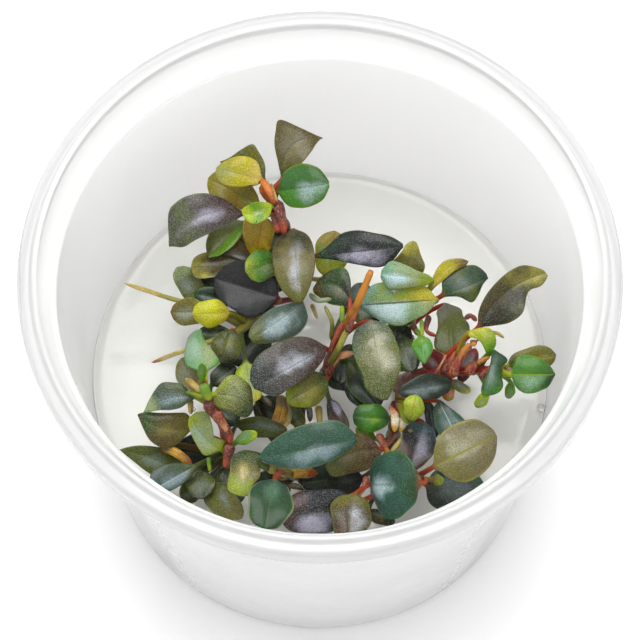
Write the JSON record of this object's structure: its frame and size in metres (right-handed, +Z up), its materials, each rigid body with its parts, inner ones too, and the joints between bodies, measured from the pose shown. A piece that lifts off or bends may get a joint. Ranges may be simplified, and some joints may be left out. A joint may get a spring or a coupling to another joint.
{
  "type": "potted aquarium plant",
  "caption": "Clump of bucephalandra with dark oval leaves on red stems, rooted in clear gel in an open round clear cup with a wide rim.",
  "frame": {"origin": "middle of the cup's foot, on the surface that it stands on", "axes": "+Z up along the cup's axis, -Y the front of the clump, nearest the picture's camera, +X its right"},
  "size_m": [0.1, 0.1, 0.0675],
  "materials": {
    "clear_plastic": "clear, slightly cloudy moulded polypropylene",
    "clear_gel": "clear, slightly cloudy nutrient gel",
    "stem_skin": "smooth red to brown living stem",
    "leaf_yellow": "waxy living leaf, satin",
    "leaf_green": "waxy living leaf, satin",
    "leaf_pale": "waxy living leaf, satin",
    "leaf_olive": "waxy living leaf, satin",
    "leaf_brown": "waxy living leaf, satin",
    "leaf_blue": "waxy living leaf, satin",
    "leaf_dark": "waxy living leaf, satin"
  },
  "bodies": {
    "root": {"cup": "clear_plastic", "gel": "clear_gel", "stem_back": "stem_skin", "stem_left": "stem_skin", "stem_shoot": "stem_skin", "stem_centre": "stem_skin", "stem_right": "stem_skin", "stem_front_right": "stem_skin", "stem_back_right": "stem_skin", "stem_front": "stem_skin", "stem_low_right": "stem_skin", "leaf_back_tall": "leaf_olive", "leaf_back_green": "leaf_green", "leaf_back_yellow": "leaf_yellow", "leaf_back_grey": "leaf_olive", "leaf_back_ochre": "leaf_olive", "leaf_back_brown": "leaf_brown", "leaf_back_hanging": "leaf_yellow", "leaf_left_fresh": "leaf_green", "leaf_left_band": "leaf_olive", "leaf_left_dark": "leaf_dark", "leaf_centre_golden": "leaf_brown", "leaf_left_yellow": "leaf_yellow", "leaf_left_speckled": "leaf_dark", "leaf_shoot_pale": "leaf_pale", "leaf_shoot_grey": "leaf_blue", "leaf_shoot_olive": "leaf_olive", "leaf_shoot_light": "leaf_green", "leaf_shoot_speckled": "leaf_blue", "leaf_front_olive": "leaf_olive", "leaf_front_low": "leaf_olive", "leaf_front_blue": "leaf_blue", "leaf_front_point": "leaf_dark", "leaf_front_round": "leaf_dark", "leaf_front_purple": "leaf_dark", "leaf_front_mauve": "leaf_brown", "leaf_mid_mauve": "leaf_brown", "leaf_long_teal": "leaf_blue", "leaf_big_grey": "leaf_brown", "leaf_under_green": "leaf_olive", "leaf_blue_grey": "leaf_blue", "leaf_curled_dark": "leaf_dark", "leaf_long_blue": "leaf_blue", "leaf_back_olive": "leaf_olive", "leaf_pale_blue": "leaf_pale", "leaf_right_green": "leaf_green", "leaf_right_brown": "leaf_brown", "leaf_big_yellow": "leaf_yellow", "leaf_right_grey": "leaf_olive", "leaf_centre_olive": "leaf_olive", "leaf_sprig_end": "leaf_green", "leaf_sprig_dark": "leaf_dark", "leaf_sprig_curl": "leaf_green", "leaf_right_long": "leaf_dark", "leaf_low_olive": "leaf_olive", "leaf_low_teal": "leaf_blue", "leaf_low_green": "leaf_green", "leaf_low_blue": "leaf_blue", "leaf_low_slate": "leaf_blue", "leaf_small_green": "leaf_green"}
  },
  "joints": []
}
